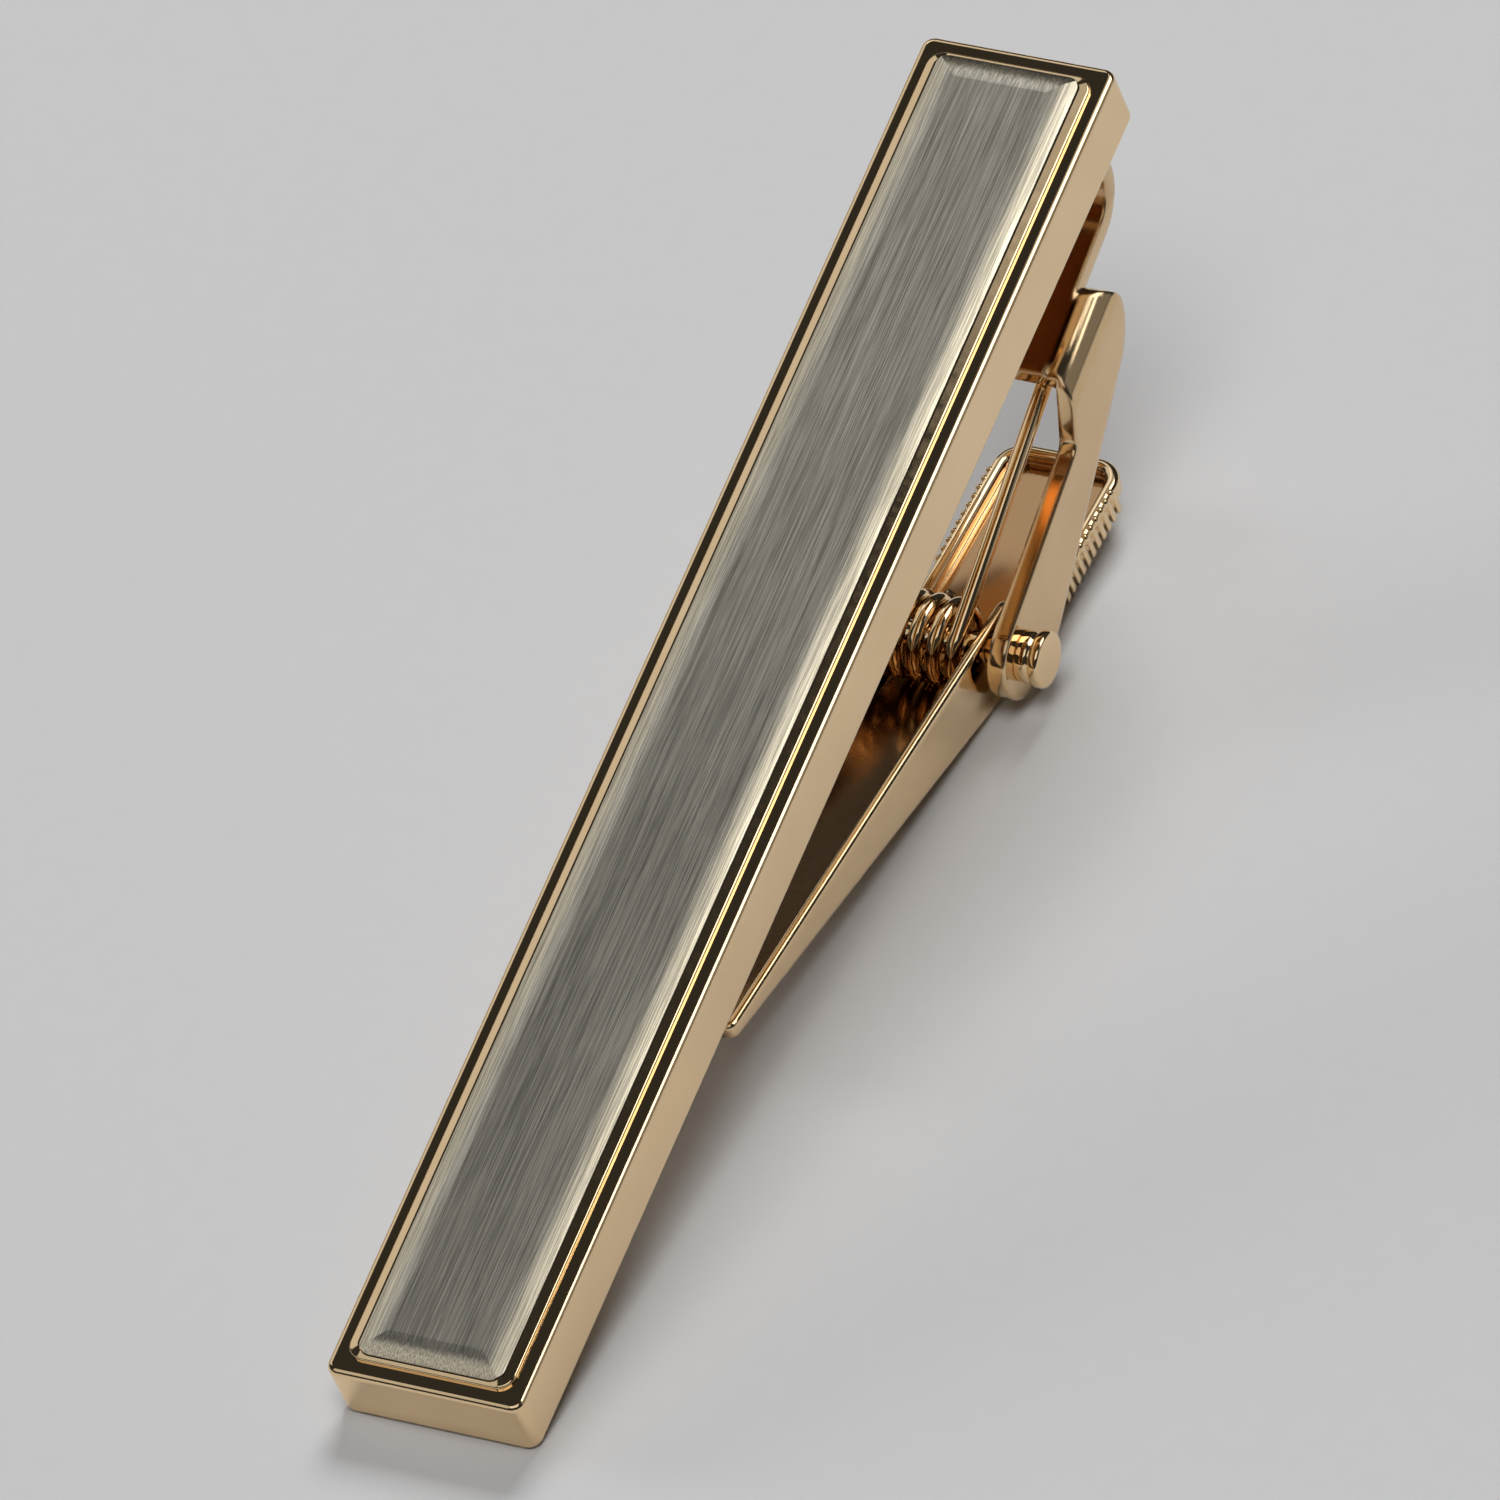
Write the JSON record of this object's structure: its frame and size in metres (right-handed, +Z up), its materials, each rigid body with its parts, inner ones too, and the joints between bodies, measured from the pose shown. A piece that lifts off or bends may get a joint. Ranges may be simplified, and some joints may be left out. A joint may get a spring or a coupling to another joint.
{
  "type": "tie clip",
  "caption": "Tie clip with a long plated bar, a brushed inlay, and a sprung lever whose toothed jaw grips a tie against the bar's back.",
  "frame": {"origin": "on the table, under the middle of the clip's box as it lies on the bar's free end and the lever's knee", "axes": "+X towards the hinged end, +Y across the bar, +Z up from the table"},
  "size_m": [0.0562, 0.0094, 0.0193],
  "materials": {
    "polished_gold": "mirror-polished gold plate",
    "brushed_inlay": "brushed along the bar's length",
    "plated_wire": "gold-plated spring steel wire"
  },
  "bodies": {
    "bar": {"front_bar": "polished_gold", "inlay_plate": "brushed_inlay", "hinge_bracket": "polished_gold", "pivot_pin": "polished_gold", "torsion_spring": "plated_wire"},
    "lever": {"clip_lever": "polished_gold"}
  },
  "joints": [
    {"name": "lever_hinge", "type": "hinge", "parent": "bar", "child": "lever", "pos_m": [0.0142, 0, 0.0023], "axis": [0, -1, 0], "range_deg": [0, 30], "stiffness_Nm_per_rad": 0.06, "springref_deg": -42.97, "deforming": ["torsion_spring"]}
  ]
}
